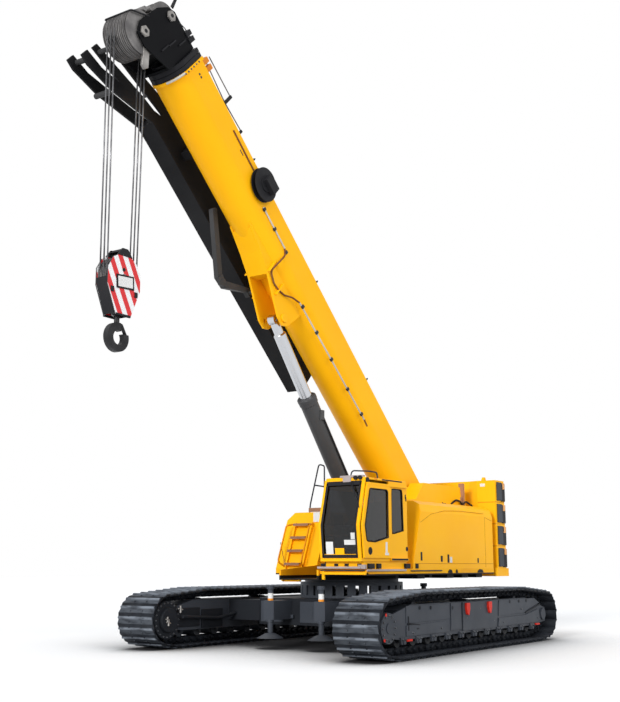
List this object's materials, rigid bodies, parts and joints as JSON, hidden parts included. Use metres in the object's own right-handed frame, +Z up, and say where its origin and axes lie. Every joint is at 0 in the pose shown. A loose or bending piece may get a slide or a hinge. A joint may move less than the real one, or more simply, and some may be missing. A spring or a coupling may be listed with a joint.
{
  "type": "telescopic-boom crawler crane",
  "caption": "Crawler crane with a nested telescopic boom, lift cylinder, stowed side jib, hook block, sliding-door cab, engine hoods and stacked counterweight.",
  "frame": {"origin": "on the ground under the slewing axis, which runs midway between the tracks", "axes": "+X ahead, the way the stowed boom points; +Y to the machine's left, the cab's side; +Z up along the slewing axis"},
  "size_m": [11.9831, 5.8, 11.264],
  "materials": {
    "crane_yellow": "gloss",
    "chassis_slate": "satin",
    "track_steel": "worn",
    "boom_black": "satin",
    "window_glass": "tinted",
    "dark_trim": "matt",
    "seat_fabric": "woven",
    "engine_iron": "rough",
    "drum_steel": "satin",
    "arm_grey": "satin",
    "sheave_iron": "machined",
    "rod_chrome": "polished",
    "block_paint": "red and white stripes",
    "hook_iron": "forged",
    "rope_steel": "greased"
  },
  "bodies": {
    "undercarriage": {"track_left": "track_steel", "track_right": "track_steel", "sprocket_left": "chassis_slate", "sprocket_right": "chassis_slate", "idler_left": "chassis_slate", "idler_right": "chassis_slate", "rollers_left": "chassis_slate", "rollers_right": "chassis_slate", "track_frame_left": "chassis_slate", "track_frame_right": "chassis_slate", "carbody": "chassis_slate", "cross_beams": "chassis_slate", "slew_ring": "chassis_slate", "jacks": "chassis_slate"},
    "upper": {"slewing_frame": "crane_yellow", "side_decks": "crane_yellow", "cab_floor": "crane_yellow", "cab_roof": "crane_yellow", "cab_rear_wall": "crane_yellow", "cab_right_wall": "crane_yellow", "cab_left_panel": "crane_yellow", "cab_front_frame": "crane_yellow", "cab_glass": "window_glass", "cab_door_rails": "dark_trim", "cab_seat": "seat_fabric", "cab_console": "dark_trim", "cab_base": "crane_yellow", "hood_left": "crane_yellow", "engine_block": "engine_iron", "hood_right": "crane_yellow", "ladder": "crane_yellow", "counterweight_tray": "crane_yellow", "counterweight_slab_1": "crane_yellow", "counterweight_slab_2": "crane_yellow", "counterweight_slab_3": "crane_yellow", "counterweight_slab_4": "crane_yellow", "winch_stands": "crane_yellow"},
    "cab_door": {"cab_door": "crane_yellow", "cab_door_glass": "window_glass"},
    "main_drum": {"winch_drum_main": "drum_steel"},
    "aux_drum": {"winch_drum_aux": "drum_steel"},
    "boom": {"boom_base": "crane_yellow", "cable_reel": "dark_trim", "jib": "boom_black", "jib_stow_arm": "arm_grey"},
    "section_1": {"boom_section_1": "crane_yellow"},
    "section_2": {"boom_section_2": "crane_yellow"},
    "section_3": {"boom_section_3": "crane_yellow", "boom_head": "boom_black"},
    "front_sheaves": {"head_sheaves": "sheave_iron"},
    "rear_sheaves": {"top_sheaves": "sheave_iron"},
    "rope_falls": {"hoist_ropes": "rope_steel"},
    "hook_block": {"block_cheeks": "block_paint"},
    "block_wheels": {"block_sheaves": "sheave_iron"},
    "hook": {"hook": "hook_iron"},
    "cylinder_barrel": {"lift_barrel": "boom_black"},
    "cylinder_rod": {"lift_rod": "rod_chrome"}
  },
  "joints": [
    {"name": "slew", "type": "hinge", "parent": "undercarriage", "child": "upper", "pos_m": [0, 0, 1.29], "axis": [0, 0, 1], "continuous": true},
    {"name": "boom_luff", "type": "hinge", "parent": "upper", "child": "boom", "pos_m": [-1.9, 0, 2.94], "axis": [0, -1, 0], "range_deg": [-42.3, 39.7]},
    {"name": "lift_tilt", "type": "hinge", "parent": "upper", "child": "cylinder_barrel", "pos_m": [-1.1, 0, 1.5], "axis": [0, -1, 0], "range_deg": [-39, 37]},
    {"name": "lift_slide", "type": "slide", "parent": "cylinder_barrel", "child": "cylinder_rod", "axis": [0.6324, 0, 0.7746], "range_m": [-1.42, 1.33]},
    {"name": "tele_1", "type": "slide", "parent": "boom", "child": "section_1", "axis": [0.7396, 0, 0.673], "range_m": [0, 9]},
    {"name": "tele_2", "type": "slide", "parent": "section_1", "child": "section_2", "axis": [0.7396, 0, 0.673], "range_m": [0, 9]},
    {"name": "tele_3", "type": "slide", "parent": "section_2", "child": "section_3", "axis": [0.7396, 0, 0.673], "range_m": [0, 9]},
    {"name": "front_sheaves_spin", "type": "hinge", "parent": "section_3", "child": "front_sheaves", "pos_m": [6.91801, 0, 10.39592], "axis": [0, 1, 0], "continuous": true},
    {"name": "rear_sheaves_spin", "type": "hinge", "parent": "section_3", "child": "rear_sheaves", "pos_m": [6.27938, 0, 10.96404], "axis": [0, 1, 0], "continuous": true},
    {"name": "rope_hang", "type": "hinge", "parent": "section_3", "child": "rope_falls", "pos_m": [6.91801, 0, 10.39592], "axis": [0, -1, 0], "range_deg": [-39.7, 42.3]},
    {"name": "hoist", "type": "slide", "parent": "rope_falls", "child": "hook_block", "axis": [0, 0, -1], "range_m": [-3.3, 4.5], "deforming": ["hoist_ropes"]},
    {"name": "block_wheels_spin", "type": "hinge", "parent": "hook_block", "child": "block_wheels", "pos_m": [6.91801, -0.08, 6.15], "axis": [0, 1, 0], "continuous": true},
    {"name": "hook_swivel", "type": "hinge", "parent": "hook_block", "child": "hook", "pos_m": [6.91801, -0.08, 5.6], "axis": [0, 0, 1], "continuous": true},
    {"name": "cab_door_slide", "type": "slide", "parent": "upper", "child": "cab_door", "axis": [-1, 0, 0], "range_m": [0, 0.67]},
    {"name": "main_drum_spin", "type": "hinge", "parent": "upper", "child": "main_drum", "pos_m": [-3.19, 0, 2.08], "axis": [0, 1, 0], "continuous": true},
    {"name": "aux_drum_spin", "type": "hinge", "parent": "upper", "child": "aux_drum", "pos_m": [-3.33, 0, 2.82], "axis": [0, 1, 0], "continuous": true}
  ],
  "couplings": [
    {"joint": "lift_tilt", "follows": "boom_luff", "ratio": 0.9},
    {"joint": "lift_slide", "follows": "boom_luff", "m_per_rad": 1.9},
    {"joint": "rope_hang", "follows": "boom_luff", "ratio": -1},
    {"joint": "tele_2", "follows": "tele_1", "ratio": 1},
    {"joint": "tele_3", "follows": "tele_1", "ratio": 1}
  ]
}
